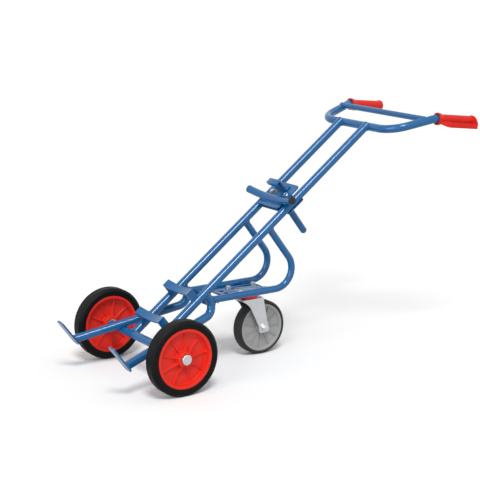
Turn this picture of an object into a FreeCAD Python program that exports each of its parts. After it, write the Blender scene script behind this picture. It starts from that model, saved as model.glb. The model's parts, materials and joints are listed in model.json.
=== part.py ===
import FreeCAD, Part
import math
import os
import Sketcher
from types import SimpleNamespace
from FreeCAD import Placement, Rotation, Vector

# Hand trolley: two wheels, a swivel caster and a sliding rim hook on a bent tube frame.
# X runs from the toe plates to the grips, Y from left to right, Z up from the floor.
# Millimetres and degrees. The build starts from the wheel axle and is centred over the floor at the end.

doc = FreeCAD.newDocument("drum_trolley")

# Driving dimensions
dimensions = {
    # frame
    "frame_slope": 36.9,
    "frame_tube": 30,
    "frame_wall": 2.5,
    "tube_spacing": 152,
    "weld_gap": 0.2,
    "cut_overrun": 30,
    "edge_round": 1,
    # foot tubes and toe plates
    "foot_bend": 40,
    "foot_weld": 251,
    "foot_corner_x": 260,
    "foot_corner_z": 214,
    "toe_spread": 368,
    "toe_foot_x": -169,
    "toe_foot_z": 115,
    "toe_reach": 147,
    "toe_low": 70,
    "toe_high": 184,
    "toe_width": 40,
    "toe_thickness": 6,
    "toe_corner": 12,
    # saddles that carry the load
    "load_radius": 292,
    "saddle_width": 30,
    "saddle_thickness": 6,
    "saddle_lower_place": 70,
    "saddle_lower_height": 45,
    "saddle_upper_place": 211,
    "saddle_upper_height": 41,
    # caster support
    "loop_tube": 25,
    "loop_wall": 2,
    "loop_weld": 589,
    "loop_level": 253.5,
    "loop_bend": 70,
    "strut_place": 247,
    "strut_thickness": 6,
    "strut_low": 218,
    "strut_high": 258,
    "mount_front": 303,
    "mount_edge": 12.5,
    "mount_top": 250,
    "mount_thickness": 6,
    "mount_hole": 20,
    "mount_hole_place": 330,
    "mount_hole_spread": 36,
    # handle
    "handle_place": 1140,
    "handle_drop": 9.8,
    "handle_half_width": 201.5,
    "handle_bend": 92,
    "grip_bend": 30,
    # corners and ends of the arms lie behind and above the front bar
    "grip_corner_x": 163.5,
    "grip_corner_y": 252.5,
    "grip_corner_z": 36.4,
    "handle_end_x": 327.5,
    "handle_end_y": 264,
    "handle_end_z": 17.4,
    "crossbar_tube": 22,
    "crossbar_wall": 2,
    "crossbar_place": 122.5,
    "crossbar_rise": 9.5,
    # grips
    "grip_length": 164,
    "grip_wall": 3,
    "grip_end": 6,
    "grip_fit": 0.05,
    "mouth_flare": 4,
    "mouth_depth": 7,
    "collar_wall": 8,
    "collar_length": 9,
    "collar_taper": 14,
    "guard_reach": 40,
    "guard_thickness": 5,
    "guard_height": 19,
    "guard_drop": 16.5,
    "guard_rise": 9,
    "guard_start": 40,
    "web_length": 52,
    "flange_round": 20.5,
    "flange_shoulder": 40,
    # axle and wheels
    "axle_tube": 30,
    "axle": 20,
    "axle_chamfer": 1.5,
    "running_fit": 0.05,
    "running_gap": 0.3,
    "wheel_diameter": 260,
    "wheel_track": 506,
    "tyre_width": 50,
    "tyre_crown_width": 34,
    "tyre_shoulder": 9,
    "tyre_bead": 7,
    "tyre_bead_inset": 3,
    "tyre_round": 5,
    "rim_diameter": 206,
    "rim_width": 46,
    "rim_ring": 10,
    "rim_draft": 3,
    "rim_round": 1.5,
    "rim_web": 8,
    "rib_thickness": 4,
    "rib_hub_height": 42,
    "rib_ring_height": 22,
    "rib_hollow": 150,
    "rib_count": 9,
    "hub_diameter": 52,
    "hub_length": 48,
    "bush_diameter": 32,
    "bush_chamfer": 1,
    "washer_diameter": 36,
    "washer_thickness": 3,
    "cap_diameter": 36,
    "cap_height": 9,
    "cap_round": 3,
    "cap_wall": 1.2,
    "axle_stub": 6,
    "wheel_turn": 5.5,
    # caster
    "caster_diameter": 200,
    "caster_place": 483,
    "caster_trail": 52,
    "caster_tyre_width": 46,
    "caster_crown_width": 32,
    "caster_tyre_shoulder": 5,
    "caster_bead": 4,
    "caster_rim_diameter": 174,
    "caster_rim_width": 42,
    "caster_rim_ring": 8,
    "caster_web": 30,
    "caster_rib_thickness": 3,
    "caster_rib_height": 37,
    "caster_rib_count": 11,
    "caster_hub": 40,
    "caster_hub_length": 58,
    "caster_bush": 26,
    "sleeve_diameter": 18,
    "caster_axle": 12,
    "bolt_head": 19,
    "bolt_head_height": 7.5,
    "fork_wall": 4,
    "fork_clear": 3,
    "fork_front": 41,
    "fork_rear": 50,
    "fork_hollow": 80,
    "fork_neck_front": 4,
    "fork_neck_rise": 78,
    "fork_shin_rise": 8,
    "fork_ankle": 14,
    "fork_ankle_rise": 26,
    "fork_foot": 22,
    "fork_foot_drop": 16,
    "fork_foot_round": 9,
    "fork_crown": 8,
    "fork_round": 6,
    "plate_length": 138,
    "plate_width": 110,
    "plate_thickness": 5,
    "plate_corner": 10,
    "bolt_length_pitch": 105,
    "bolt_width_pitch": 80,
    "mount_bolt": 10,
    "mount_bolt_head": 17,
    "mount_bolt_head_height": 6.4,
    "race_diameter": 70,
    "race_height": 8,
    "seal_diameter": 80,
    "seal_height": 12,
    "seal_round": 3,
    "king_pin": 16,
    "king_head": 28,
    "king_head_height": 5,
    # hook carriage
    "slide_gap": 0.3,
    "carriage_place": 719,
    "base_length": 82,
    "base_width": 176,
    "base_thickness": 5,
    "base_corner": 8,
    "cradle_tube": 28,
    "cradle_wall": 2,
    "cradle_radius": 480,
    "cradle_half_width": 132,
    "cradle_place": 697,
    "plug_head": 4,
    "plug_depth": 10,
    "plug_round": 1.5,
    "slide_half_width": 66,
    "slide_low": 664,
    "slide_high": 782,
    "slide_thickness": 5,
    "slide_corner": 14,
    "hook_place": 748,
    "hook_width": 60,
    "hook_plate": 6,
    "hook_foot": 18,
    "hook_height": 54,
    "hook_nose": 24,
    "hook_lip": 10,
    "hook_round": 2.5,
    "lever_diameter": 25,
    "lever_length": 158,
    "lever_place": 727.5,
    "carriage_bolt": 8,
    "carriage_bolt_head": 13,
    "carriage_bolt_head_height": 5.3,
    "carriage_bolt_place": 730,
    "carriage_bolt_spread": 84,
    "spacer_diameter": 14,
}

sheet = doc.addObject("Spreadsheet::Sheet", "sizes")
for row, (alias, number) in enumerate(dimensions.items(), start=1):
    sheet.set(f"A{row}", alias)
    sheet.set(f"B{row}", str(number))
    sheet.setAlias(f"B{row}", alias)
doc.recompute()


class Cell:
    # A number together with the sheet formula that gives it.
    def __init__(self, value, text):
        self.value = value
        self.text = text

    def __add__(self, other):
        other = cell(other)
        return Cell(self.value + other.value, f"({self.text} + {other.text})")

    def __sub__(self, other):
        other = cell(other)
        return Cell(self.value - other.value, f"({self.text} - {other.text})")

    def __mul__(self, other):
        other = cell(other)
        return Cell(self.value * other.value, f"({self.text} * {other.text})")

    def __truediv__(self, other):
        other = cell(other)
        return Cell(self.value / other.value, f"({self.text} / {other.text})")

    def __neg__(self):
        return Cell(-self.value, f"(-1 * {self.text})")


def cell(number):
    return number if isinstance(number, Cell) else Cell(float(number), repr(float(number)))


def mm(number):
    return cell(number).value


d = SimpleNamespace(**{alias: Cell(float(sheet.get(alias)), f"sizes.{alias}") for alias in dimensions})
sides = {"left": -1, "right": 1}


# Shared geometry: the slope of the main tubes, and points on it

axle_height = d.wheel_diameter / 2
slope = math.radians(mm(d.frame_slope))
along = Vector(math.cos(slope), 0, math.sin(slope))
rise = Vector(-math.sin(slope), 0, math.cos(slope))
slope_turn = Rotation(Vector(0, 1, 0), -mm(d.frame_slope))
level_turn = Rotation()
across_turn = {"left": Rotation(Vector(1, 0, 0), 90), "right": Rotation(Vector(1, 0, 0), -90)}


def on_slope(distance, across, height):
    foot = Vector(0, mm(across), mm(axle_height))
    return foot + along * mm(distance) + rise * mm(height)


def slope_place(distance, across=0, height=0):
    return Placement(on_slope(distance, across, height), slope_turn)


# Document helpers


def bind(item, name, size):
    item.setExpression(name, cell(size).text)


def new_body(label):
    body = doc.addObject("PartDesign::Body", label)
    body.Label = label
    return body


def sketch_on(body, role):
    plane = next(feature for feature in body.Origin.OriginFeatures if feature.Role == role)
    sketch = body.newObject("Sketcher::SketchObject", f"{body.Name}_sketch")
    sketch.AttachmentSupport = [(plane, "")]
    sketch.MapMode = "FlatFace"
    return sketch


def hold(sketch, kind, *places, size):
    index = sketch.addConstraint(Sketcher.Constraint(kind, *places, mm(size)))
    bind(sketch, f"Constraints[{index}]", size)


def hold_point(sketch, geometry, position, point):
    hold(sketch, "DistanceX", -1, 1, geometry, position, size=point[0])
    hold(sketch, "DistanceY", -1, 1, geometry, position, size=point[1])


def outline(sketch, corners, arcs=None):
    # Closed outline through the corners. arcs gives the radius of a side that starts at that corner,
    # positive where it turns left and negative where it turns right.
    arcs = arcs or {}
    points = [Vector(mm(x), mm(y), 0) for x, y in corners]
    first = sketch.GeometryCount
    ends = {}
    for i, start in enumerate(points):
        stop = points[(i + 1) % len(points)]
        if i not in arcs:
            sketch.addGeometry(Part.LineSegment(start, stop))
            ends[i] = (1, 2)
            continue
        radius = mm(arcs[i])
        chord = stop - start
        left = Vector(-chord.y, chord.x, 0).normalize()
        depth = math.sqrt(radius ** 2 - (chord.Length / 2) ** 2)
        centre = (start + stop) / 2 + left * math.copysign(depth, radius)
        circle = Part.Circle(centre, Vector(0, 0, 1), abs(radius))
        turn = (start, stop) if radius > 0 else (stop, start)
        angles = [math.atan2(p.y - centre.y, p.x - centre.x) for p in turn]
        sketch.addGeometry(Part.ArcOfCircle(circle, *angles))
        ends[i] = (1, 2) if radius > 0 else (2, 1)
    for i in range(len(points)):
        after = (i + 1) % len(points)
        joint = Sketcher.Constraint("Coincident", first + i, ends[i][1], first + after, ends[after][0])
        sketch.addConstraint(joint)
        hold_point(sketch, first + i, ends[i][0], corners[i])
    for i, radius in arcs.items():
        hold(sketch, "Radius", first + i, size=radius if mm(radius) > 0 else -radius)


def circle(sketch, radius, centre=(0, 0)):
    point = Vector(mm(centre[0]), mm(centre[1]), 0)
    index = sketch.addGeometry(Part.Circle(point, Vector(0, 0, 1), mm(radius)))
    hold_point(sketch, index, 3, centre)
    hold(sketch, "Radius", index, size=radius)


def hexagon(sketch, width, centre=(0, 0)):
    corner = width / math.sqrt(3)
    turns = [math.radians(60 * step) for step in range(6)]
    points = [(corner * math.cos(turn) + centre[0], corner * math.sin(turn) + centre[1]) for turn in turns]
    outline(sketch, points)


def pad(body, sketch, length, symmetric=False, down=False):
    feature = body.newObject("PartDesign::Pad", f"{body.Name}_pad")
    feature.Profile = sketch
    feature.SideType = "Symmetric" if symmetric else "One side"
    feature.Reversed = down
    bind(feature, "Length", length)
    return feature


def pocket(body, sketch, length, symmetric=True):
    feature = body.newObject("PartDesign::Pocket", f"{body.Name}_pocket")
    feature.Profile = sketch
    feature.SideType = "Symmetric" if symmetric else "One side"
    bind(feature, "Length", length)
    return feature


def revolve(body, sketch, axis="V_Axis"):
    feature = body.newObject("PartDesign::Revolution", f"{body.Name}_turn")
    feature.Profile = sketch
    feature.ReferenceAxis = (sketch, [axis])
    feature.Angle = 360
    return feature


def round_edges(body, radius, chosen, kind="Fillet"):
    # Rounds or chamfers the edges of the body whose middle point and direction pass the test.
    doc.recompute()
    base = body.Tip
    names = []
    for index, edge in enumerate(base.Shape.Edges, start=1):
        low, high = edge.ParameterRange
        middle = edge.valueAt((low + high) / 2)
        if chosen(middle, edge):
            names.append(f"Edge{index}")
    feature = body.newObject(f"PartDesign::{kind}", f"{body.Name}_{kind.lower()}")
    feature.Base = (base, names)
    bind(feature, "Radius" if kind == "Fillet" else "Size", radius)
    return feature


def near(a, b):
    return abs(a - mm(b)) < mm(d.weld_gap)


def is_upright(edge):
    return edge.Curve.TypeId == "Part::GeomLine" and abs(edge.tangentAt(edge.FirstParameter).z) > 0.99


def is_ring(edge):
    return edge.Curve.TypeId == "Part::GeomCircle"


def cut(label, base, tools):
    for tool in tools:
        feature = doc.addObject("Part::Cut", f"{label}_cut")
        feature.Base = base
        feature.Tool = tool
        base = feature
    base.Label = label
    return base


def rod(name, radius, start, stop):
    item = doc.addObject("Part::Cylinder", name)
    bind(item, "Radius", radius)
    item.Height = (stop - start).Length
    item.Placement = Placement(start, Rotation(Vector(0, 0, 1), stop - start))
    return item


def straight_tube(label, outer, bore, start, stop):
    body = new_body(label)
    sketch = sketch_on(body, "XY_Plane")
    circle(sketch, outer / 2)
    circle(sketch, bore / 2)
    pad(body, sketch, (stop - start).Length)
    body.Placement = Placement(start, Rotation(Vector(0, 0, 1), stop - start))
    return body


def bent_tube(label, outer, bore, corners, bend):
    # A tube with one bend, piped along a path sketch that lies in the plane of its three corners.
    first = corners[1] - corners[0]
    second = corners[2] - corners[1]
    turn = first.getAngle(second)
    tangent = mm(bend) * math.tan(turn / 2)
    runs = [first.Length - tangent, second.Length - tangent]
    body = new_body(label)
    path = sketch_on(body, "XY_Plane")
    heading = Vector(math.cos(turn), math.sin(turn), 0)
    bend_start = Vector(runs[0], 0, 0)
    centre = bend_start + Vector(0, mm(bend), 0)
    bend_stop = centre + Vector(math.sin(turn), -math.cos(turn), 0) * mm(bend)
    path.addGeometry(Part.LineSegment(Vector(0, 0, 0), bend_start))
    quarter = math.pi / 2
    whole = Part.Circle(centre, Vector(0, 0, 1), mm(bend))
    path.addGeometry(Part.ArcOfCircle(whole, -quarter, turn - quarter))
    path.addGeometry(Part.LineSegment(bend_stop, bend_stop + heading * runs[1]))
    path.addConstraint(Sketcher.Constraint("Coincident", 0, 1, -1, 1))
    path.addConstraint(Sketcher.Constraint("Horizontal", 0))
    path.addConstraint(Sketcher.Constraint("Tangent", 0, 2, 1, 1))
    path.addConstraint(Sketcher.Constraint("Tangent", 1, 2, 2, 1))
    hold(path, "Distance", 0, size=runs[0])
    hold(path, "Radius", 1, size=bend)
    hold(path, "Distance", 2, size=runs[1])
    path.addConstraint(Sketcher.Constraint("Angle", 2, turn))
    section = sketch_on(body, "YZ_Plane")
    circle(section, outer / 2)
    if bore is not None:
        circle(section, bore / 2)
    doc.recompute()
    pipe = body.newObject("PartDesign::AdditivePipe", f"{label}_pipe")
    pipe.Profile = section
    pipe.Spine = path
    normal = first.cross(second)
    body.Placement = Placement(corners[0], Rotation(first, normal.cross(first), normal, "XZY"))
    return body


def piped(corners, bends, radius):
    # A solid round bar through the corners, with tangent arcs, for a route that leaves one plane.
    edges = []
    start = corners[0]
    for before, corner, after, bend in zip(corners, corners[1:], corners[2:], bends):
        back = (before - corner).normalize()
        ahead = (after - corner).normalize()
        half = back.getAngle(ahead) / 2
        tangent = bend / math.tan(half)
        middle = (back + ahead).normalize() * (bend / math.sin(half) - bend)
        edges.append(Part.LineSegment(start, corner + back * tangent).toShape())
        edges.append(Part.Arc(corner + back * tangent, corner + middle, corner + ahead * tangent).toShape())
        start = corner + ahead * tangent
    edges.append(Part.LineSegment(start, corners[-1]).toShape())
    ring = Part.Wire(Part.Circle(corners[0], corners[1] - corners[0], radius).toShape())
    return Part.Wire(edges).makePipeShell([ring], True, False)


def bore_of(outer, wall):
    return outer - wall * 2


frame_bore = bore_of(d.frame_tube, d.frame_wall)


# Axle: a tube welded across the frame, with the axle shaft through it

half_track = d.wheel_track / 2
hub_half = d.hub_length / 2
axle_tube_half = half_track - hub_half - d.running_gap - d.washer_thickness
axle_centre = Vector(0, 0, mm(axle_height))
across = Vector(0, 1, 0)
axle_bore = d.axle + d.running_fit * 2

axle_reach = across * mm(axle_tube_half)
axle_ends = [axle_centre - axle_reach, axle_centre + axle_reach]

axle_tube = straight_tube("axle_tube", d.axle_tube, axle_bore, *axle_ends)


def make_axle_shaft():
    body = new_body("axle_shaft")
    sketch = sketch_on(body, "XY_Plane")
    circle(sketch, d.axle / 2)
    pad(body, sketch, (half_track + hub_half + d.running_gap + d.axle_stub) * 2, symmetric=True)
    round_edges(body, d.axle_chamfer, lambda middle, edge: is_ring(edge), "Chamfer")
    body.Placement = Placement(axle_centre, across_turn["right"])
    return body


axle_shaft = make_axle_shaft()


def axle_tool(name):
    return rod(name, d.axle_tube / 2 + d.weld_gap, *axle_ends)


# Main tubes: from the axle tube up to the front bar of the handle, coped at both ends

half_spacing = d.tube_spacing / 2
bar_centre = on_slope(d.handle_place, 0, -d.handle_drop)


def main_axis(side):
    return on_slope(0, half_spacing * side, 0), on_slope(d.handle_place, half_spacing * side, 0)


def main_tool(name, side):
    start, stop = main_axis(side)
    return rod(name, d.frame_tube / 2 + d.weld_gap, start, stop)


def make_main_tube(hand, side):
    start, stop = main_axis(side)
    stock = straight_tube(f"{hand}_main_stock", d.frame_tube, frame_bore, start, stop)
    reach = across * mm(half_spacing + d.frame_tube)
    bar = rod(f"{hand}_bar_tool", d.frame_tube / 2 + d.weld_gap, bar_centre - reach, bar_centre + reach)
    return cut(f"{hand}_main_tube", stock, [axle_tool(f"{hand}_axle_tool"), bar])


main_tubes = {hand: make_main_tube(hand, side) for hand, side in sides.items()}


# Foot tubes: from the toe plates, notched over the axle tube, round a tight bend to the main tubes


def foot_corners(side):
    toe = Vector(mm(d.toe_foot_x), side * mm(d.toe_spread) / 2, mm(d.toe_foot_z))
    corner = Vector(mm(d.foot_corner_x), side * mm(half_spacing), mm(d.foot_corner_z))
    weld = on_slope(d.foot_weld, half_spacing * side, 0)
    overrun = (toe - corner).normalize() * mm(d.cut_overrun)
    return [toe + overrun, corner, weld]


toe_face = -d.toe_reach


def make_foot_tube(hand, side):
    stock = bent_tube(f"{hand}_foot_stock", d.frame_tube, frame_bore, foot_corners(side), d.foot_bend)
    beyond = doc.addObject("Part::Box", f"{hand}_toe_tool")
    edge = d.toe_spread + d.toe_high
    for name in ("Length", "Width", "Height"):
        bind(beyond, name, edge)
    corner = on_slope(toe_face + d.weld_gap - edge, -edge / 2, -edge / 2)
    beyond.Placement = Placement(corner + across * side * mm(d.toe_spread) / 2, slope_turn)
    tools = [beyond, axle_tool(f"{hand}_notch_tool"), main_tool(f"{hand}_main_tool", side)]
    return cut(f"{hand}_foot_tube", stock, tools)


foot_tubes = {hand: make_foot_tube(hand, side) for hand, side in sides.items()}


def make_toe_plate(hand, side):
    body = new_body(f"{hand}_toe_plate")
    sketch = sketch_on(body, "YZ_Plane")
    half = d.toe_width / 2
    outline(sketch, [(-half, d.toe_low), (half, d.toe_low), (half, d.toe_high), (-half, d.toe_high)])
    pad(body, sketch, d.toe_thickness, down=True)
    round_edges(body, d.toe_corner, lambda middle, edge: near(abs(middle.y), half)
                and edge.Length < mm(d.toe_thickness + d.weld_gap))
    round_edges(body, d.edge_round, lambda middle, edge: near(middle.x, 0)
                or near(middle.x, -d.toe_thickness))
    body.Placement = slope_place(toe_face, d.toe_spread / 2 * side)
    return body


toe_plates = {hand: make_toe_plate(hand, side) for hand, side in sides.items()}


# Saddles: flat bars bent to the round of the load, standing on the main tubes


def make_saddle(label, place, height):
    body = new_body(f"{label}_stock")
    sketch = sketch_on(body, "YZ_Plane")
    outer = half_spacing + d.saddle_thickness / 2
    inner = half_spacing - d.saddle_thickness / 2
    under = d.load_radius + d.saddle_thickness
    sag_outer = mm(d.load_radius) - math.sqrt(mm(d.load_radius) ** 2 - mm(outer) ** 2)
    sag_inner = mm(under) - math.sqrt(mm(under) ** 2 - mm(inner) ** 2)
    top = height + sag_outer
    below = height - d.saddle_thickness + sag_inner
    corners = [(-outer, 0), (-inner, 0), (-inner, below), (inner, below),
               (inner, 0), (outer, 0), (outer, top), (-outer, top)]
    outline(sketch, corners, {2: under, 6: -d.load_radius})
    pad(body, sketch, d.saddle_width, symmetric=True)
    round_edges(body, d.edge_round, lambda middle, edge: is_ring(edge))
    body.Placement = slope_place(place)
    tools = [main_tool(f"{label}_{hand}_tool", side) for hand, side in sides.items()]
    return cut(label, body, tools)


saddles = [make_saddle("lower_saddle", d.saddle_lower_place, d.saddle_lower_height),
           make_saddle("upper_saddle", d.saddle_upper_place, d.saddle_upper_height)]


# Caster support: two bent loops, a strut between their front ends and the caster's mounting plate


def loop_corners(side):
    top = on_slope(d.loop_weld, half_spacing * side, 0)
    drop = (top.z - mm(d.loop_level)) / rise.z
    corner = top - rise * drop
    front = Vector(mm(d.foot_corner_x) - mm(d.foot_bend), corner.y, corner.z)
    return [top, corner, front]


def make_loop(hand, side):
    stock = bent_tube(f"{hand}_loop_stock", d.loop_tube, bore_of(d.loop_tube, d.loop_wall),
                      loop_corners(side), d.loop_bend)
    foot_size = d.frame_tube + d.weld_gap * 2
    foot = bent_tube(f"{hand}_foot_tool", foot_size, None, foot_corners(side), d.foot_bend)
    return cut(f"{hand}_caster_loop", stock, [main_tool(f"{hand}_loop_tool", side), foot])


loops = {hand: make_loop(hand, side) for hand, side in sides.items()}


def make_cross_strut():
    body = new_body("cross_strut")
    sketch = sketch_on(body, "YZ_Plane")
    half = half_spacing - d.loop_tube / 2 - d.weld_gap
    outline(sketch, [(-half, d.strut_low), (half, d.strut_low), (half, d.strut_high), (-half, d.strut_high)])
    pad(body, sketch, d.strut_thickness)
    body.Placement = Placement(Vector(mm(d.strut_place), 0, 0), level_turn)
    return body


cross_strut = make_cross_strut()
swivel_place = d.caster_place - d.caster_trail
bolt_places = [(d.bolt_length_pitch / 2 * i, d.bolt_width_pitch / 2 * j) for i in (-1, 1) for j in (-1, 1)]
bolt_hole = d.mount_bolt / 2 + d.running_fit


def make_mount_plate():
    body = new_body("caster_mount_plate")
    sketch = sketch_on(body, "XY_Plane")
    drop = mm(d.loop_level - d.mount_top)
    side_gap = math.sqrt(mm(d.loop_tube / 2) ** 2 - drop ** 2)
    half = half_spacing - side_gap - d.weld_gap
    front = d.mount_front - swivel_place
    rear = d.bolt_length_pitch / 2 + d.mount_edge
    outline(sketch, [(front, -half), (rear, -half), (rear, half), (front, half)])
    for place in bolt_places:
        circle(sketch, bolt_hole, place)
    for side in sides.values():
        circle(sketch, d.mount_hole / 2, (d.mount_hole_place - swivel_place, d.mount_hole_spread / 2 * side))
    pad(body, sketch, d.mount_thickness, down=True)
    body.Placement = Placement(Vector(mm(swivel_place), 0, mm(d.mount_top)), level_turn)
    return body


mount_plate = make_mount_plate()


# Handle: one tube bent from grip to grip, and a crossbar between its arms


def handle_corners(side):
    bar = Vector(bar_centre.x, side * mm(d.handle_half_width), bar_centre.z)
    grip = Vector(bar.x + mm(d.grip_corner_x), side * mm(d.grip_corner_y), bar.z + mm(d.grip_corner_z))
    end = Vector(bar.x + mm(d.handle_end_x), side * mm(d.handle_end_y), bar.z + mm(d.handle_end_z))
    return [bar, grip, end]


def make_handle_tube():
    left = handle_corners(sides["left"])
    corners = left[::-1] + handle_corners(sides["right"])
    bends = [mm(d.grip_bend), mm(d.handle_bend), mm(d.handle_bend), mm(d.grip_bend)]
    outer = piped(corners, bends, mm(d.frame_tube) / 2)
    inner = piped(corners, bends, mm(frame_bore) / 2)
    part = doc.addObject("Part::Feature", "handle_tube")
    part.Label = "handle_tube"
    part.Shape = outer.cut(inner)
    part.Placement = Placement()
    return part


handle_tube = make_handle_tube()


def make_crossbar():
    ends = []
    tools = []
    for hand, side in sides.items():
        bar, grip, end = handle_corners(side)
        share = mm(d.crossbar_place) / mm(d.grip_corner_x)
        ends.append(bar + (grip - bar) * share + Vector(0, 0, mm(d.crossbar_rise)))
        tools.append(rod(f"{hand}_arm_tool", d.frame_tube / 2 + d.weld_gap, bar, grip))
    bore = bore_of(d.crossbar_tube, d.crossbar_wall)
    stock = straight_tube("crossbar_stock", d.crossbar_tube, bore, *ends)
    return cut("handle_crossbar", stock, tools)


crossbar = make_crossbar()


# Grips: moulded sleeves with a knuckle guard on the outer side


def make_grip(hand, side):
    bar, corner, end = handle_corners(side)
    axis = (end - corner).normalize()
    bore = d.frame_tube / 2 + d.grip_fit
    core = bore + d.grip_wall
    collar = bore + d.collar_wall
    length = d.grip_length
    inside = length - d.grip_end
    taper = d.collar_length + d.collar_taper
    mouth = bore + d.mouth_flare
    body = new_body(f"{hand}_grip")
    # the guard leaves the collar on a closed web, runs beside the hand and ends on the flange
    reach = d.guard_reach * side
    wall = d.guard_thickness * side
    root = bore * side
    high = d.guard_height / 2 - d.guard_drop
    low = -d.guard_drop - d.guard_height / 2
    guard = sketch_on(body, "XY_Plane")
    guard.AttachmentOffset = Placement(Vector(0, 0, -mm(d.guard_drop)), Rotation())
    start = d.collar_length
    outline(guard, [(start, root), (start, root + wall), (d.guard_start, reach), (length, reach),
                    (length, root), (inside, root), (inside, reach - wall), (d.web_length, reach - wall),
                    (d.web_length, root)])
    pad(body, guard, d.guard_height, symmetric=True)
    # its lower edge rises towards the collar
    front = sketch_on(body, "XZ_Plane")
    outline(front, [(start, low), (d.guard_start, low), (start, low + d.guard_rise)])
    pocket(body, front, d.guard_reach * 2)
    # the sleeve on the tube
    sketch = sketch_on(body, "XY_Plane")
    outline(sketch, [(0, mouth), (d.mouth_depth, bore), (inside, bore), (inside, 0), (length, 0),
                     (length, core), (taper, core), (d.collar_length, collar), (0, collar)])
    revolve(body, sketch, "H_Axis")
    # the end flange is round about the hand's axis and falls away to the guard
    flange = sketch_on(body, "YZ_Plane")
    flange.AttachmentOffset = Placement(Vector(0, 0, mm(inside)), Rotation())
    ring = d.flange_round
    turn = -side
    outline(flange, [(-ring * side, 0), (0, ring), (reach, high), (reach, low), (0, -ring)],
            {0: ring * turn, 1: d.flange_shoulder * turn, 4: ring * turn})
    pad(body, flange, d.grip_end)
    up = Vector(0, 0, 1)
    outward = up.cross(axis)
    seat = end + axis * (mm(d.grip_end) - mm(length))
    body.Placement = Placement(seat, Rotation(axis, outward, up, "XYZ"))
    return body


grips = {hand: make_grip(hand, side) for hand, side in sides.items()}


# Wheels: ribbed plastic rim, solid rubber tyre and a bush on the axle


def make_tyre(label, diameter, width, crown, shoulder, seat, bead):
    body = new_body(label)
    sketch = sketch_on(body, "XZ_Plane")
    tread = diameter / 2
    inner = seat / 2 + d.running_fit
    half = width / 2
    low = half - d.tyre_bead_inset
    outline(sketch, [(inner, -low), (inner + bead, -half), (tread - shoulder, -half), (tread, -crown / 2),
                     (tread, crown / 2), (tread - shoulder, half), (inner + bead, half), (inner, low)])
    revolve(body, sketch)
    round_edges(body, d.tyre_round, lambda middle, edge: is_ring(edge) and
                edge.Curve.Radius > mm(inner + bead + d.weld_gap))
    return body


def make_rim(label, seat, width, ring, web, hub, hub_length, bore, rib_count, rib, rib_hub, rib_ring,
             hollow=None):
    body = new_body(label)
    sketch = sketch_on(body, "XZ_Plane")
    outer = seat / 2
    inner = outer - ring
    half = width / 2
    hole = bore / 2
    core = hub / 2
    end = hub_length / 2
    skin = web / 2
    slack = d.rim_draft
    outline(sketch, [(hole, -end), (core, -end), (core + slack, -skin), (inner - slack, -skin),
                     (inner, -half), (outer, -half), (outer, half), (inner, half),
                     (inner - slack, skin), (core + slack, skin), (core, end), (hole, end)])
    revolve(body, sketch)
    round_edges(body, d.rim_round, lambda middle, edge: is_ring(edge)
                and (near(edge.Curve.Radius, inner) or near(edge.Curve.Radius, core)))
    # the ribs fall from the hub to the ring, in a hollow curve where one is given
    fin = sketch_on(body, "XZ_Plane")
    root = (hole + core) / 2
    tip = (inner + outer) / 2
    outline(fin, [(root, -rib_hub / 2), (tip, -rib_ring / 2), (tip, rib_ring / 2), (root, rib_hub / 2)],
            {0: -hollow, 2: -hollow} if hollow else None)
    blade = pad(body, fin, rib, symmetric=True)
    doc.recompute()
    pattern = body.newObject("PartDesign::PolarPattern", f"{label}_ribs")
    pattern.Originals = [blade]
    pattern.Axis = (sketch, ["V_Axis"])
    pattern.Angle = 360
    bind(pattern, "Occurrences", rib_count)
    body.Tip = pattern
    return body


def make_ring(label, outer, bore, low, high):
    body = new_body(label)
    sketch = sketch_on(body, "XZ_Plane")
    outline(sketch, [(bore / 2, low), (outer / 2, low), (outer / 2, high), (bore / 2, high)])
    revolve(body, sketch)
    return body


def make_bush(label, outer, bore, length):
    body = make_ring(label, outer, bore, -length / 2, length / 2)
    round_edges(body, d.bush_chamfer, lambda middle, edge: is_ring(edge)
                and near(edge.Curve.Radius, outer / 2), "Chamfer")
    return body


def make_axle_cap(label):
    body = new_body(label)
    sketch = sketch_on(body, "XZ_Plane")
    hole = d.axle / 2 + d.running_fit
    outer = d.cap_diameter / 2
    wall = d.cap_wall
    inner = outer - wall
    roof = d.cap_height - wall
    outline(sketch, [(hole, 0), (outer, 0), (outer, d.cap_height), (0, d.cap_height), (0, roof),
                     (inner, roof), (inner, wall), (hole, wall)])
    revolve(body, sketch)
    round_edges(body, d.cap_round, lambda middle, edge: is_ring(edge) and near(middle.z, d.cap_height)
                and near(edge.Curve.Radius, outer))
    return body


def place_wheel(body, hand, side, offset=0):
    middle = axle_centre + across * side * mm(half_track + offset)
    turn = Rotation(Vector(0, 0, 1), mm(d.wheel_turn))
    body.Placement = Placement(middle, across_turn[hand].multiply(turn))
    return body


wheel_parts = []
for hand, side in sides.items():
    wheel_parts += [
        place_wheel(make_tyre(f"{hand}_wheel_tyre", d.wheel_diameter, d.tyre_width, d.tyre_crown_width,
                              d.tyre_shoulder, d.rim_diameter, d.tyre_bead), hand, side),
        place_wheel(make_rim(f"{hand}_wheel_rim", d.rim_diameter, d.rim_width, d.rim_ring, d.rim_web,
                             d.hub_diameter, d.hub_length, d.bush_diameter, d.rib_count, d.rib_thickness,
                             d.rib_hub_height, d.rib_ring_height, d.rib_hollow), hand, side),
        place_wheel(make_bush(f"{hand}_wheel_bush", d.bush_diameter - d.running_fit * 2, axle_bore,
                              d.hub_length), hand, side),
        place_wheel(make_ring(f"{hand}_axle_washer", d.washer_diameter, axle_bore,
                              -d.washer_thickness, cell(0)), hand, side, -hub_half - d.running_gap),
        place_wheel(make_axle_cap(f"{hand}_axle_cap"), hand, side, hub_half + d.running_gap),
    ]


# Caster: top plate, ball race, seal, king pin, pressed fork and a ribbed wheel

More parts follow.
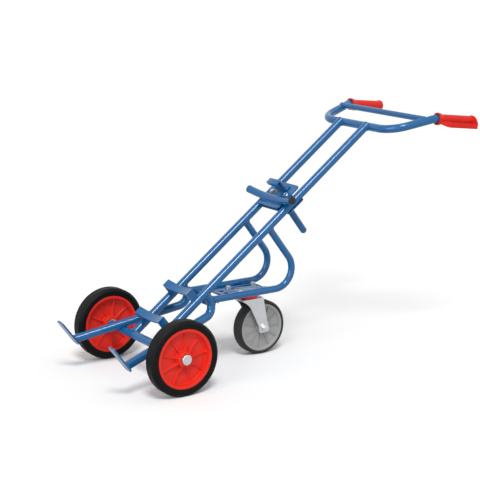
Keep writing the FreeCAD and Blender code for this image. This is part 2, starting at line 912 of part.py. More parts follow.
caster_height = d.caster_diameter / 2
caster_centre = Vector(mm(d.caster_place), 0, mm(caster_height))
swivel_axis = Vector(mm(swivel_place), 0, 0)
plate_top = d.mount_top - d.mount_thickness
plate_low = plate_top - d.plate_thickness
race_low = plate_low - d.running_gap - d.race_height
crown_top = race_low - d.seal_height
king_bore = d.king_pin + d.running_fit * 2


def place_swivel(body, height):
    body.Placement = Placement(swivel_axis + Vector(0, 0, mm(height)), level_turn)
    return body


def make_top_plate():
    body = new_body("caster_top_plate")
    sketch = sketch_on(body, "XY_Plane")
    x = d.plate_length / 2
    y = d.plate_width / 2
    outline(sketch, [(-x, -y), (x, -y), (x, y), (-x, y)])
    circle(sketch, king_bore / 2)
    for place in bolt_places:
        circle(sketch, bolt_hole, place)
    pad(body, sketch, d.plate_thickness)
    round_edges(body, d.plate_corner, lambda middle, edge: is_upright(edge))
    return place_swivel(body, plate_low)


def make_king_pin():
    body = new_body("king_pin")
    sketch = sketch_on(body, "XZ_Plane")
    pin = d.king_pin / 2
    head = d.king_head / 2
    low = crown_top - d.fork_crown - d.running_gap
    high = plate_top
    bottom = low - d.king_head_height
    outline(sketch, [(0, bottom), (head, bottom), (head, low), (pin, low), (pin, high), (0, high)])
    revolve(body, sketch)
    return place_swivel(body, 0)


def make_seal():
    body = make_ring("swivel_seal", d.seal_diameter, king_bore, cell(0), d.seal_height)
    round_edges(body, d.seal_round, lambda middle, edge: is_ring(edge)
                and near(edge.Curve.Radius, d.seal_diameter / 2))
    return place_swivel(body, crown_top)


def make_fork():
    body = new_body("caster_fork")
    sketch = sketch_on(body, "XZ_Plane")
    front = -d.fork_front
    rear = d.fork_rear
    toe = d.caster_trail - d.fork_foot
    heel = d.caster_trail + d.fork_foot
    axle_drop = caster_height
    sole = axle_drop - d.fork_foot_drop
    shoulder = crown_top - d.fork_crown
    # each leg falls from the shoulder in a hollow curve, runs straight down the shin and widens at its foot
    neck = (-d.fork_neck_front, axle_drop + d.fork_neck_rise)
    ankle = (d.caster_trail + d.fork_ankle, axle_drop + d.fork_ankle_rise)
    outline(sketch, [(toe, sole), (heel, sole), (heel, axle_drop), ankle, (rear, shoulder),
                     (rear, crown_top), (front, crown_top), (front, shoulder), neck,
                     (toe, axle_drop + d.fork_shin_rise)], {7: -d.fork_hollow})
    inner = d.caster_hub_length + d.fork_clear * 2
    pad(body, sketch, inner + d.fork_wall * 2, symmetric=True)
    gap = sketch_on(body, "YZ_Plane")
    low = sole - d.cut_overrun
    outline(gap, [(-inner / 2, low), (inner / 2, low), (inner / 2, shoulder), (-inner / 2, shoulder)])
    pocket(body, gap, (d.fork_front + d.caster_trail) * 4)
    bolt = sketch_on(body, "XZ_Plane")
    circle(bolt, d.caster_axle / 2 + d.running_fit, (d.caster_trail, axle_drop))
    pocket(body, bolt, (inner + d.fork_wall * 2) * 2)
    top = sketch_on(body, "XY_Plane")
    circle(top, king_bore / 2)
    pocket(body, top, crown_top * 4)
    round_edges(body, d.fork_foot_round, lambda middle, edge: near(middle.z, sole)
                and abs(edge.tangentAt(edge.FirstParameter).y) > 0.99)
    round_edges(body, d.fork_round, lambda middle, edge: near(middle.z, crown_top) and not is_ring(edge))
    return place_swivel(body, 0)


def make_hex_bolt(label, thread, length, head, head_height, places):
    # Screws with their heads above the local plane, one solid for each place.
    body = new_body(label)
    body.AllowCompound = True
    heads = sketch_on(body, "XY_Plane")
    for place in places:
        hexagon(heads, head, place)
    pad(body, heads, head_height)
    shanks = sketch_on(body, "XY_Plane")
    for place in places:
        circle(shanks, thread / 2, place)
    pad(body, shanks, length, down=True)
    return body


def make_hex_nut(label, thread, width, height, places):
    body = new_body(label)
    body.AllowCompound = True
    sketch = sketch_on(body, "XY_Plane")
    for place in places:
        hexagon(sketch, width, place)
        circle(sketch, thread / 2 + d.running_fit, place)
    pad(body, sketch, height, down=True)
    return body


grip_depth = d.mount_thickness + d.plate_thickness + d.mount_bolt_head_height
fork_half = d.caster_hub_length / 2 + d.fork_clear + d.fork_wall
caster_turn = across_turn["left"]
caster_bolt = make_hex_bolt("caster_axle_bolt", d.caster_axle, fork_half * 2 + d.bolt_head_height,
                            d.bolt_head, d.bolt_head_height, [(0, 0)])
caster_bolt.Placement = Placement(caster_centre - across * mm(fork_half), caster_turn)
caster_nut = make_hex_nut("caster_axle_nut", d.caster_axle, d.bolt_head, d.bolt_head_height, [(0, 0)])
caster_nut.Placement = Placement(caster_centre + across * mm(fork_half), caster_turn)
mount_bolts = make_hex_bolt("caster_bolts", d.mount_bolt, grip_depth, d.mount_bolt_head,
                            d.mount_bolt_head_height, bolt_places)
mount_nuts = make_hex_nut("caster_nuts", d.mount_bolt, d.mount_bolt_head,
                          d.mount_bolt_head_height, bolt_places)
sleeve_half = d.caster_hub_length / 2 + d.fork_clear
caster_parts = [
    make_top_plate(),
    make_king_pin(),
    place_swivel(make_ring("swivel_race", d.race_diameter, king_bore, cell(0), d.race_height), race_low),
    make_seal(),
    make_fork(),
    caster_bolt,
    caster_nut,
    place_swivel(mount_bolts, d.mount_top),
    place_swivel(mount_nuts, plate_low),
]
caster_wheel = [
    make_tyre("caster_tyre", d.caster_diameter, d.caster_tyre_width, d.caster_crown_width,
              d.caster_tyre_shoulder, d.caster_rim_diameter, d.caster_bead),
    make_rim("caster_rim", d.caster_rim_diameter, d.caster_rim_width, d.caster_rim_ring, d.caster_web,
             d.caster_hub, d.caster_hub_length, d.caster_bush, d.caster_rib_count, d.caster_rib_thickness,
             d.caster_rib_height, d.caster_rib_height),
    make_bush("caster_bush", d.caster_bush - d.running_fit * 2, d.sleeve_diameter + d.running_fit * 2,
              d.caster_hub_length),
    make_ring("caster_sleeve", d.sleeve_diameter, d.caster_axle + d.running_fit * 2,
              -sleeve_half, sleeve_half),
]
for item in caster_wheel:
    item.Placement = Placement(caster_centre, caster_turn)


# Hook carriage: plates that ride on the main tubes, a curved cradle tube, the rim hook and a pull lever

tube_half = d.frame_tube / 2
base_top = -tube_half - d.slide_gap
slide_low_face = tube_half + d.slide_gap
carriage_bolts_at = [(0, d.carriage_bolt_spread / 2 * side) for side in sides.values()]
carriage_hole = d.carriage_bolt / 2 + d.running_fit


def is_outline(edge):
    return not (is_ring(edge) and near(edge.Curve.Radius, carriage_hole))


def make_base_plate():
    body = new_body("carriage_base_plate")
    sketch = sketch_on(body, "XY_Plane")
    x = d.base_length / 2
    y = d.base_width / 2
    outline(sketch, [(-x, -y), (x, -y), (x, y), (-x, y)])
    for place in carriage_bolts_at:
        circle(sketch, carriage_hole, (d.carriage_bolt_place - d.carriage_place, place[1]))
    pad(body, sketch, d.base_thickness, down=True)
    round_edges(body, d.base_corner, lambda middle, edge: is_upright(edge))
    round_edges(body, d.edge_round, lambda middle, edge: is_outline(edge) and not is_upright(edge))
    body.Placement = slope_place(d.carriage_place, 0, base_top)
    return body


# the cradle's round clears the crowns of both main tubes by the slide gap
cradle_clear = d.cradle_radius + d.cradle_tube / 2 + tube_half + d.slide_gap
cradle_height = math.sqrt(mm(cradle_clear) ** 2 - mm(half_spacing) ** 2)
cradle_sweep = math.asin(mm(d.cradle_half_width) / mm(d.cradle_radius))


def cradle_shape(radius):
    # A torus sector about the middle of the cradle's round.
    centre = on_slope(d.cradle_place, 0, cradle_height)
    start = centre - rise * mm(d.cradle_radius)
    ring = Part.Face(Part.Wire(Part.Circle(start, across, radius).toShape()))
    ring.rotate(centre, along, -math.degrees(cradle_sweep))
    return ring.revolve(centre, along, 2 * math.degrees(cradle_sweep))


def make_cradle():
    part = doc.addObject("Part::Feature", "cradle_tube")
    part.Label = "cradle_tube"
    bore = bore_of(d.cradle_tube, d.cradle_wall)
    part.Shape = cradle_shape(mm(d.cradle_tube) / 2).cut(cradle_shape(mm(bore) / 2))
    part.Placement = Placement()
    return part


def make_plug(hand, side):
    body = new_body(f"{hand}_cradle_plug")
    sketch = sketch_on(body, "XZ_Plane")
    stem = d.cradle_tube / 2 - d.cradle_wall - d.running_fit * 4
    head = d.cradle_tube / 2
    outline(sketch, [(0, -d.plug_depth), (stem, -d.plug_depth), (stem, d.weld_gap), (head, d.weld_gap),
                     (head, d.plug_head), (0, d.plug_head)])
    revolve(body, sketch)
    round_edges(body, d.plug_round, lambda middle, edge: is_ring(edge) and near(middle.z, d.plug_head))
    outward = across * side * math.cos(cradle_sweep) + rise * math.sin(cradle_sweep)
    down = rise * math.cos(cradle_sweep) - across * side * math.sin(cradle_sweep)
    centre = on_slope(d.cradle_place, 0, cradle_height)
    body.Placement = Placement(centre - down * mm(d.cradle_radius), Rotation(Vector(0, 0, 1), outward))
    return body


def make_slide_plate(label, low, high, upper):
    body = new_body(f"{label}_stock")
    sketch = sketch_on(body, "XY_Plane")
    half = d.slide_half_width
    outline(sketch, [(low, -half), (high, -half), (high, half), (low, half)])
    if upper:
        for place in carriage_bolts_at:
            circle(sketch, carriage_hole, (d.carriage_bolt_place, place[1]))
    pad(body, sketch, d.slide_thickness)
    outer = high if upper else low
    round_edges(body, d.slide_corner, lambda middle, edge: is_upright(edge) and near(middle.x, outer))
    round_edges(body, d.edge_round, lambda middle, edge: is_outline(edge) and not is_upright(edge))
    body.Placement = slope_place(0, 0, slide_low_face)
    tool = doc.addObject("Part::Feature", f"{label}_tool")
    tool.Shape = cradle_shape(mm(d.cradle_tube / 2 + d.weld_gap))
    return cut(label, body, [tool])


def make_hook():
    body = new_body("rim_hook")
    sketch = sketch_on(body, "XZ_Plane")
    plate = d.hook_plate
    top = d.hook_height
    nose = -d.hook_nose
    outline(sketch, [(-plate, 0), (d.hook_foot, 0), (d.hook_foot, plate), (0, plate), (0, top), (nose, top),
                     (nose, top - plate - d.hook_lip), (nose + plate, top - plate - d.hook_lip),
                     (nose + plate, top - plate), (-plate, top - plate)])
    pad(body, sketch, d.hook_width, symmetric=True)
    round_edges(body, d.hook_round, lambda middle, edge: near(abs(middle.y), 0) and middle.z > mm(plate / 2))
    body.Placement = slope_place(d.hook_place, 0, slide_low_face + d.slide_thickness)
    return body


def make_lever():
    body = new_body("carriage_lever")
    sketch = sketch_on(body, "XZ_Plane")
    radius = d.lever_diameter / 2
    low = radius - d.lever_length
    outline(sketch, [(0, 0), (0, -d.lever_length), (radius, low), (radius, 0)], {1: radius})
    revolve(body, sketch)
    body.Placement = slope_place(d.lever_place, 0, base_top - d.base_thickness)
    return body


carriage_depth = d.slide_thickness + d.frame_tube + d.slide_gap * 2 + d.base_thickness
carriage_screws = make_hex_bolt("carriage_bolts", d.carriage_bolt,
                                carriage_depth + d.carriage_bolt_head_height, d.carriage_bolt_head,
                                d.carriage_bolt_head_height, carriage_bolts_at)
carriage_screws.Placement = slope_place(d.carriage_bolt_place, 0, slide_low_face + d.slide_thickness)
carriage_nuts = make_hex_nut("carriage_nuts", d.carriage_bolt, d.carriage_bolt_head,
                             d.carriage_bolt_head_height, carriage_bolts_at)
carriage_nuts.Placement = slope_place(d.carriage_bolt_place, 0, base_top - d.base_thickness)


def make_spacers():
    body = new_body("carriage_spacers")
    body.AllowCompound = True
    sketch = sketch_on(body, "XY_Plane")
    for place in carriage_bolts_at:
        circle(sketch, d.spacer_diameter / 2, place)
        circle(sketch, carriage_hole, place)
    pad(body, sketch, d.frame_tube + d.slide_gap * 2)
    body.Placement = slope_place(d.carriage_bolt_place, 0, base_top)
    return body


carriage_parts = [
    make_base_plate(),
    make_cradle(),
    make_plug("left", sides["left"]),
    make_plug("right", sides["right"]),
    make_slide_plate("lower_slide_plate", d.slide_low, d.cradle_place, False),
    make_slide_plate("upper_slide_plate", d.cradle_place, d.slide_high, True),
    make_hook(),
    make_lever(),
    carriage_screws,
    carriage_nuts,
    make_spacers(),
]


# Check every object, centre the part over the floor and write one file for each piece

parts = [axle_tube, axle_shaft, cross_strut, mount_plate, handle_tube, crossbar]
parts += [*main_tubes.values(), *foot_tubes.values(), *toe_plates.values(), *saddles, *loops.values()]
parts += [*grips.values(), *wheel_parts, *caster_parts, *caster_wheel, *carriage_parts]
doc.recompute()
for item in doc.Objects:
    if "Invalid" in item.State or "Error" in item.State:
        raise RuntimeError(f"{item.Name} failed: {item.getStatusString()}")
for part in parts:
    if part.Shape.isNull() or not part.Shape.isValid():
        raise RuntimeError(f"{part.Label} has no valid shape")

front = min(plate.Shape.optimalBoundingBox(False).XMin for plate in toe_plates.values())
rear = max(grip.Shape.optimalBoundingBox(False).XMax for grip in grips.values())
middle = (front + rear) / 2
to_middle = Placement(Vector(-middle, 0, 0), Rotation())
for part in parts:
    part.Placement = to_middle.multiply(part.Placement)
doc.recompute()

os.makedirs("parts", exist_ok=True)
for part in parts:
    part.Shape.exportStep(f"parts/{part.Label}.step")
print(len(parts), "pieces, axle at x", -middle, "swivel at x", mm(swivel_place) - middle)
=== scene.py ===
import bpy
import json
import math
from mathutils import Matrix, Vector


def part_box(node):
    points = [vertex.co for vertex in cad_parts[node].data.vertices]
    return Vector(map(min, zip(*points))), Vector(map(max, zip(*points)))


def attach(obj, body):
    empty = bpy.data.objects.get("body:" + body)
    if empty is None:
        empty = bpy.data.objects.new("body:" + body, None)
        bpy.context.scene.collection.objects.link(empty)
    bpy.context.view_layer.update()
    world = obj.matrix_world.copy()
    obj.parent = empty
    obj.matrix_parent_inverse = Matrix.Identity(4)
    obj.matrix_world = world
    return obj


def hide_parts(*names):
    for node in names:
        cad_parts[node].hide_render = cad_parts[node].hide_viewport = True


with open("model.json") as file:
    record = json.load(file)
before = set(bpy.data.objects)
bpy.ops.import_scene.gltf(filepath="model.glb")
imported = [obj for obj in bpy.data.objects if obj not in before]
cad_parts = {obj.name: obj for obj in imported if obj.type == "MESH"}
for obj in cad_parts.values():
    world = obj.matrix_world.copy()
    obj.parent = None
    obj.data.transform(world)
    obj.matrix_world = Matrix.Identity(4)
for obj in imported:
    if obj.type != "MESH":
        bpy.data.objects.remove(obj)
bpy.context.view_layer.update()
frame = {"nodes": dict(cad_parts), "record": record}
nodes = frame["nodes"]
print("frame loaded:", len(nodes), "nodes")


class Wire:  # one output socket of a node, used in Python sums
    def __init__(self, tree, socket=None):
        self.tree = tree
        self.socket = socket

    def add(self, kind, settings, sockets, output=0):  # any node: its settings first, then its sockets
        node = self.tree.nodes.new(kind)
        for name, value in settings.items():
            if name == "stops":
                for element, (place, colour) in zip(node.color_ramp.elements, value):
                    element.position = place
                    element.color = colour
            else:
                setattr(node, name, value)
        for name, value in sockets.items():
            if isinstance(value, Wire):
                self.tree.links.new(value.socket, node.inputs[name])
            else:
                node.inputs[name].default_value = value
        return Wire(self.tree, node.outputs[output])

    def feed(self, shader, name):
        self.tree.links.new(self.socket, shader.inputs[name])

    def math(self, operation, first, second):
        return self.add("ShaderNodeMath", {"operation": operation}, {0: first, 1: second})

    def __add__(self, other):
        return self.math("ADD", self, other)

    __radd__ = __add__

    def __sub__(self, other):
        return self.math("SUBTRACT", self, other)

    def __mul__(self, other):
        return self.math("MULTIPLY", self, other)

    __rmul__ = __mul__


black = (0, 0, 0, 1)
white = (1, 1, 1, 1)
noiseMean = 0.5
colourMix = {"factor": 0, "first": 6, "second": 7, "result": 2}  # socket numbers of a mix node set to colour


def newFinish(name, fixed):
    material = bpy.data.materials.new(name)
    material.use_nodes = True
    shader = material.node_tree.nodes["Principled BSDF"]
    for socket, value in fixed.items():
        shader.inputs[socket].default_value = value
    place = Wire(material.node_tree).add("ShaderNodeTexCoord", {}, {}, "Object")
    return material, shader, place


def noise(place, scale, detail, rough):
    sockets = {"Vector": place, "Scale": scale, "Detail": detail, "Roughness": rough}
    return place.add("ShaderNodeTexNoise", {}, sockets, "Fac")


def swing(wave, share):  # how far a noise is from its mean, times a share
    return share * (wave - noiseMean)


def blendColour(mask, first, second):
    settings = {"data_type": "RGBA", "blend_type": "MIX"}
    sockets = {colourMix["factor"]: mask, colourMix["first"]: first, colourMix["second"]: second}
    return mask.add("ShaderNodeMix", settings, sockets, colourMix["result"])


def band(value, low, high):  # 0 below low, 1 above high
    stops = [(low, black), (high, white)]
    return value.add("ShaderNodeValToRGB", {"stops": stops}, {"Fac": value}, "Color")


def bump(height, strength, distance, shader):
    sockets = {"Height": height, "Strength": strength, "Distance": distance}
    height.add("ShaderNodeBump", {}, sockets, "Normal").feed(shader, "Normal")


# Finishes

bluePaint = {
    "colour": (0.0037, 0.1060, 0.2900, 1),
    "thin": (0.0031, 0.0930, 0.2600, 1),
    "cloudScale": 7.0,
    "cloudDetail": 3.0,
    "cloudRough": 0.6,
    "cloudSwing": 0.10,
    "peelScale": 420.0,
    "peelDetail": 1.0,
    "peelRough": 0.4,
    "peelStrength": 0.12,
    "peelDepth": 0.0006,
    "roughness": 0.15,
    "coat": 0.06,
    "cloudCoat": 0.10,
    "coatRoughness": 0.08,
    "ior": 1.5,
    "specular": 0.42,
}


def makeBluePaint(name, look):
    fixed = {"Coat Roughness": look["coatRoughness"], "IOR": look["ior"],
             "Specular IOR Level": look["specular"]}
    material, shader, place = newFinish(name, fixed)
    cloud = noise(place, look["cloudScale"], look["cloudDetail"], look["cloudRough"])
    blendColour(cloud, look["thin"], look["colour"]).feed(shader, "Base Color")
    peel = noise(place, look["peelScale"], look["peelDetail"], look["peelRough"])
    (look["roughness"] + swing(cloud, look["cloudSwing"])).feed(shader, "Roughness")
    (look["coat"] + look["cloudCoat"] * cloud).feed(shader, "Coat Weight")
    bump(peel, look["peelStrength"], look["peelDepth"], shader)
    return material


redPlastic = {
    "colour": (0.7500, 0.0250, 0.0120, 1),
    "shade": (0.6700, 0.0210, 0.0100, 1),
    "cloudScale": 11.0,
    "grainScale": 900.0,
    "roughness": 0.36,
    "specular": 0.26,
}

redGrip = {
    "colour": (0.6500, 0.0150, 0.0080, 1),
    "shade": (0.5700, 0.0120, 0.0060, 1),
    "cloudScale": 16.0,
    "grainScale": 700.0,
    "roughness": 0.40,
    "specular": 0.22,
}

greyPlastic = {
    "colour": (0.3700, 0.3720, 0.3720, 1),
    "shade": (0.3100, 0.3120, 0.3130, 1),
    "cloudScale": 14.0,
    "grainScale": 900.0,
    "roughness": 0.45,
    "specular": 0.32,
}

blackPlastic = {
    "colour": (0.0160, 0.0160, 0.0170, 1),
    "shade": (0.0120, 0.0120, 0.0130, 1),
    "cloudScale": 20.0,
    "grainScale": 1100.0,
    "roughness": 0.42,
    "specular": 0.32,
}

mouldedSkin = {  # what all moulded plastics share
    "cloudDetail": 3.0,
    "cloudRough": 0.55,
    "cloudSwing": 0.10,
    "grainDetail": 2.0,
    "grainRough": 0.6,
    "grainSwing": 0.12,
    "grainStrength": 0.18,
    "grainDepth": 0.0004,
    "ior": 1.49,
}


def makeMoulded(name, look, skin):
    material, shader, place = newFinish(name, {"IOR": skin["ior"], "Specular IOR Level": look["specular"]})
    cloud = noise(place, look["cloudScale"], skin["cloudDetail"], skin["cloudRough"])
    blendColour(cloud, look["shade"], look["colour"]).feed(shader, "Base Color")
    grain = noise(place, look["grainScale"], skin["grainDetail"], skin["grainRough"])
    roughness = look["roughness"] + swing(grain, skin["grainSwing"]) + swing(cloud, skin["cloudSwing"])
    roughness.feed(shader, "Roughness")
    bump(grain, skin["grainStrength"], skin["grainDepth"], shader)
    return material


blackRubber = {
    "colour": (0.0030, 0.0034, 0.0036, 1),
    "dusty": (0.0075, 0.0080, 0.0080, 1),
    "cloudScale": 16.0,
    "grainScale": 1300.0,
    "roughness": 0.52,
    "specular": 0.12,
}

greyRubber = {
    "colour": (0.0230, 0.0245, 0.0235, 1),
    "dusty": (0.0380, 0.0390, 0.0370, 1),
    "cloudScale": 18.0,
    "grainScale": 1300.0,
    "roughness": 0.60,
    "specular": 0.22,
}

rubberSkin = {  # what both rubbers share
    "cloudDetail": 4.0,
    "cloudRough": 0.65,
    "cloudSwing": 0.16,
    "dustFrom": 0.48,
    "dustFull": 0.78,
    "grainDetail": 3.0,
    "grainRough": 0.6,
    "grainSwing": 0.10,
    "grainStrength": 0.25,
    "grainDepth": 0.0005,
    "ior": 1.5,
}


def makeRubber(name, look, skin):
    material, shader, place = newFinish(name, {"IOR": skin["ior"], "Specular IOR Level": look["specular"]})
    cloud = noise(place, look["cloudScale"], skin["cloudDetail"], skin["cloudRough"])
    dust = band(cloud, skin["dustFrom"], skin["dustFull"])
    blendColour(dust, look["colour"], look["dusty"]).feed(shader, "Base Color")
    grain = noise(place, look["grainScale"], skin["grainDetail"], skin["grainRough"])
    roughness = look["roughness"] + swing(cloud, skin["cloudSwing"]) + swing(grain, skin["grainSwing"])
    roughness.feed(shader, "Roughness")
    bump(grain, skin["grainStrength"], skin["grainDepth"], shader)
    return material


zincPlate = {
    "colour": (0.7000, 0.7150, 0.7300, 1),
    "dull": (0.5500, 0.5650, 0.5850, 1),
    "cloudScale": 24.0,
    "cloudDetail": 4.0,
    "cloudRough": 0.6,
    "cloudSwing": 0.16,
    "grainScale": 700.0,
    "grainDetail": 2.0,
    "grainRough": 0.5,
    "grainSwing": 0.08,
    "grainStrength": 0.10,
    "grainDepth": 0.0003,
    "roughness": 0.30,
    "metallic": 1.0,
}


def makeZinc(name, look):
    material, shader, place = newFinish(name, {"Metallic": look["metallic"]})
    cloud = noise(place, look["cloudScale"], look["cloudDetail"], look["cloudRough"])
    grain = noise(place, look["grainScale"], look["grainDetail"], look["grainRough"])
    blendColour(cloud, look["dull"], look["colour"]).feed(shader, "Base Color")
    roughness = look["roughness"] + swing(cloud, look["cloudSwing"]) + swing(grain, look["grainSwing"])
    roughness.feed(shader, "Roughness")
    bump(grain, look["grainStrength"], look["grainDepth"], shader)
    return material


finishes = {
    "blue_paint": makeBluePaint("blueGlossPaint", bluePaint),
    "red_plastic": makeMoulded("redMouldedPlastic", redPlastic, mouldedSkin),
    "grey_plastic": makeMoulded("greyMouldedPlastic", greyPlastic, mouldedSkin),
    "black_plastic": makeMoulded("blackMouldedPlastic", blackPlastic, mouldedSkin),
    "black_rubber": makeRubber("blackTyreRubber", blackRubber, rubberSkin),
    "grey_rubber": makeRubber("greyTyreRubber", greyRubber, rubberSkin),
    "zinc": makeZinc("brightZincPlate", zincPlate),
}
gripFinish = makeMoulded("redGripPlastic", redGrip, mouldedSkin)

slotOf = {subpart["node"]: subpart["material_slot"] for subpart in frame["record"]["subparts"]}
bodyOf = {node: body for body, members in frame["record"]["behaviour"]["bodies"].items() for node in members}
for node, slot in slotOf.items():
    nodes[node].data.materials.clear()
    nodes[node].data.materials.append(finishes[slot])
print("finishes set:", len(finishes))


# Helpers for new pieces

nodeMerge = 1e-6


def settle(piece, name, body, slot, finish=None):  # a finished piece gets its name, finish and body
    piece.name = name
    piece.data.name = name
    piece.data.materials.clear()
    piece.data.materials.append(finish or finishes[slot])
    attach(piece, body)
    return piece


def pickOnly(piece):
    bpy.ops.object.select_all(action="DESELECT")
    piece.select_set(True)
    bpy.context.view_layer.objects.active = piece


def finishWith(piece, kind, settings):  # adds a modifier and applies it
    modifier = piece.modifiers.new(kind.lower(), kind)
    for name, value in settings.items():
        setattr(modifier, name, value)
    pickOnly(piece)
    bpy.ops.object.modifier_apply(modifier=modifier.name)


def mergeClose(piece, distance):
    pickOnly(piece)
    bpy.ops.object.mode_set(mode="EDIT")
    bpy.ops.mesh.select_all(action="SELECT")
    bpy.ops.mesh.remove_doubles(threshold=distance)
    bpy.ops.object.mode_set(mode="OBJECT")


def copyNode(node):  # a merged copy of a node's mesh, in a new object
    piece = bpy.data.objects.new(node, nodes[node].data.copy())
    bpy.context.scene.collection.objects.link(piece)
    mergeClose(piece, nodeMerge)
    return piece


def joinAll(pieces):
    pickOnly(pieces[0])
    for piece in pieces[1:]:
        piece.select_set(True)
    if len(pieces) > 1:
        bpy.ops.object.join()
    return bpy.context.object


def smoothBy(piece, angle):
    pickOnly(piece)
    bpy.ops.object.shade_smooth_by_angle(angle=math.radians(angle))


# Weld beads where tubes and plates meet

tubes = {
    "slope": 36.9,
    "mainRadius": 0.015,
    "mainAcross": 0.076,
    "mainMiddle": 0.6,
    "barPlace": 1.140,
    "barDrop": 0.0098,
    "loopRadius": 0.0125,
    "loopPlace": 0.589,
    "loopHeight": 0.2535,
    "loopDrop": 0.2,
    "loopBehind": 0.1,
    "crossbarRadius": 0.011,
    "crossbarPlace": 1.040,
    "crossbarRise": 0.0095,
    "barCorner": 0.2015,
    "gripCorner": (1.081, 0.2525, 0.843),
    "footCorner": (0.260, 0.076, 0.214),
    "footToe": (-0.169, 0.184, 0.115),
    "footPlace": 0.251,
    "toeFace": -0.147,
    "leverPlace": 0.7275,
    "leverRadius": 0.0125,
    "baseUnderside": -0.0203,
    "slideTop": 0.0203,
    "slideHalf": 0.062,
    "cradlePlace": 0.697,
    "cradleRadius": 0.014,
    "cradleCurve": 0.480,
    "cradleRise": 0.0236,
    "hookFoot": 0.7665,
    "hookHalf": 0.028,
    "saddlePlaces": (0.070, 0.211),
    "saddleWidth": 0.030,
    "saddleThickness": 0.006,
    "saddleAbove": 0.480,
    "boltPlace": 0.730,
    "boltAcross": 0.042,
    "stitches": ((0.316, 0.346), (0.384, 0.414), (0.452, 0.482)),
}

bead = {
    "radius": 0.0027,
    "ripple": 0.16,
    "pitch": 0.0026,
    "stepsPerRipple": 4,
    "sides": 8,
    "endShare": 0.45,
    "endGrowth": 0.1,
    "smooth": 50,
}

weldLine = {
    "ringSteps": 96,
    "edgeSteps": 24,
    "cradleSteps": 40,
    "fewestPoints": 3,
    "fewestSteps": 4,
    "shortest": 1e-9,
}

axleLow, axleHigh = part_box("axle_tube")
axleCentre = (axleLow + axleHigh) / 2
axleRadius = (axleHigh.z - axleLow.z) / 2
slopeTurn = math.radians(tubes["slope"])
along = Vector((math.cos(slopeTurn), 0, math.sin(slopeTurn)))
rise = Vector((-math.sin(slopeTurn), 0, math.cos(slopeTurn)))
across = Vector((0, 1, 0))


def onSlope(place, side, height):
    return axleCentre + along * place + rise * height + across * side


def fromAxle(point, side):  # a point given from the floor below the axle's middle, on one side
    return Vector((axleCentre.x + point[0], side * point[1], point[2]))


def ringEdges(start, axis, radius):  # points round a tube's outer wall
    first = axis.orthogonal().normalized()
    second = axis.cross(first).normalized()
    steps = weldLine["ringSteps"]
    turns = [2 * math.pi * i / steps for i in range(steps)]
    return [start + radius * (first * math.cos(turn) + second * math.sin(turn)) for turn in turns]


def hitTube(start, axis, other, otherAxis, otherRadius):  # how far along a line it enters another tube
    offset = start - other
    offset = offset - otherAxis * offset.dot(otherAxis)
    step = axis - otherAxis * axis.dot(otherAxis)
    half = offset.dot(step)
    square = half * half - step.length_squared * (offset.length_squared - otherRadius ** 2)
    if square < 0:
        return None
    return (-half - math.sqrt(square)) / step.length_squared


def copeLine(start, axis, radius, other, otherAxis, otherRadius):  # a tube's end on another tube
    axis = axis.normalized()
    line = []
    for edge in ringEdges(start, axis, radius):
        hit = hitTube(edge, axis, other, otherAxis.normalized(), otherRadius)
        line.append(None if hit is None else edge + axis * hit)
    return line


def planeLine(start, axis, radius, face, normal):  # a tube's end on a flat plate
    axis = axis.normalized()
    line = []
    for edge in ringEdges(start, axis, radius):
        line.append(edge + axis * ((face - edge).dot(normal) / axis.dot(normal)))
    return line


def edgeLine(start, stop, axis, other, otherAxis, otherRadius):  # a plate's edge on a tube
    steps = weldLine["edgeSteps"]
    line = []
    for i in range(steps + 1):
        point = start.lerp(stop, i / steps)
        hit = hitTube(point, axis, other, otherAxis.normalized(), otherRadius)
        line.append(None if hit is None else point + axis * hit)
    return line + [None]


def openRuns(line):  # splits a closed line at its gaps, and says whether it is whole
    if None not in line:
        return [(line, True)]
    start = line.index(None)
    turned = line[start:] + line[:start]
    runs, run = [], []
    for point in turned + [None]:
        if point is None:
            if len(run) >= weldLine["fewestPoints"]:
                runs.append((run, False))
            run = []
        else:
            run.append(point)
    return runs


def spaced(line, closed, step):  # points at an even distance along a line
    points = line + [line[0]] if closed else line
    lengths = [(b - a).length for a, b in zip(points, points[1:])]
    count = max(weldLine["fewestSteps"], round(sum(lengths) / step))
    result = []
    for i in range(count if closed else count + 1):
        left = sum(lengths) * i / count
        k = 0
        while k < len(lengths) - 1 and left > lengths[k]:
            left -= lengths[k]
            k += 1
        share = left / max(lengths[k], weldLine["shortest"])
        result.append(points[k].lerp(points[k + 1], min(1, share)))
    return result


def makeBeads(name, body, lines, look):
    curve = bpy.data.curves.new(name, "CURVE")
    curve.dimensions = "3D"
    curve.bevel_depth = look["radius"]
    curve.bevel_resolution = look["sides"] // 2 - 2
    curve.use_fill_caps = True
    for line in lines:
        for run, closed in openRuns(line):
            points = spaced(run, closed, look["pitch"] / look["stepsPerRipple"])
            spline = curve.splines.new("POLY")
            spline.points.add(len(points) - 1)
            spline.use_cyclic_u = closed
            for i, point in enumerate(points):
                wave = math.cos(2 * math.pi * i / look["stepsPerRipple"])
                grown = look["endShare"] + look["endGrowth"] * min(i, len(points) - 1 - i)
                taper = 1.0 if closed else min(1.0, grown)
                spline.points[i].co = (*point, 1)
                spline.points[i].radius = taper * (1 + look["ripple"] * wave)
    piece = bpy.data.objects.new(name, curve)
    bpy.context.scene.collection.objects.link(piece)
    pickOnly(piece)
    bpy.ops.object.convert(target="MESH")
    piece = bpy.context.object
    smoothBy(piece, look["smooth"])
    settle(piece, name, body, "blue_paint")


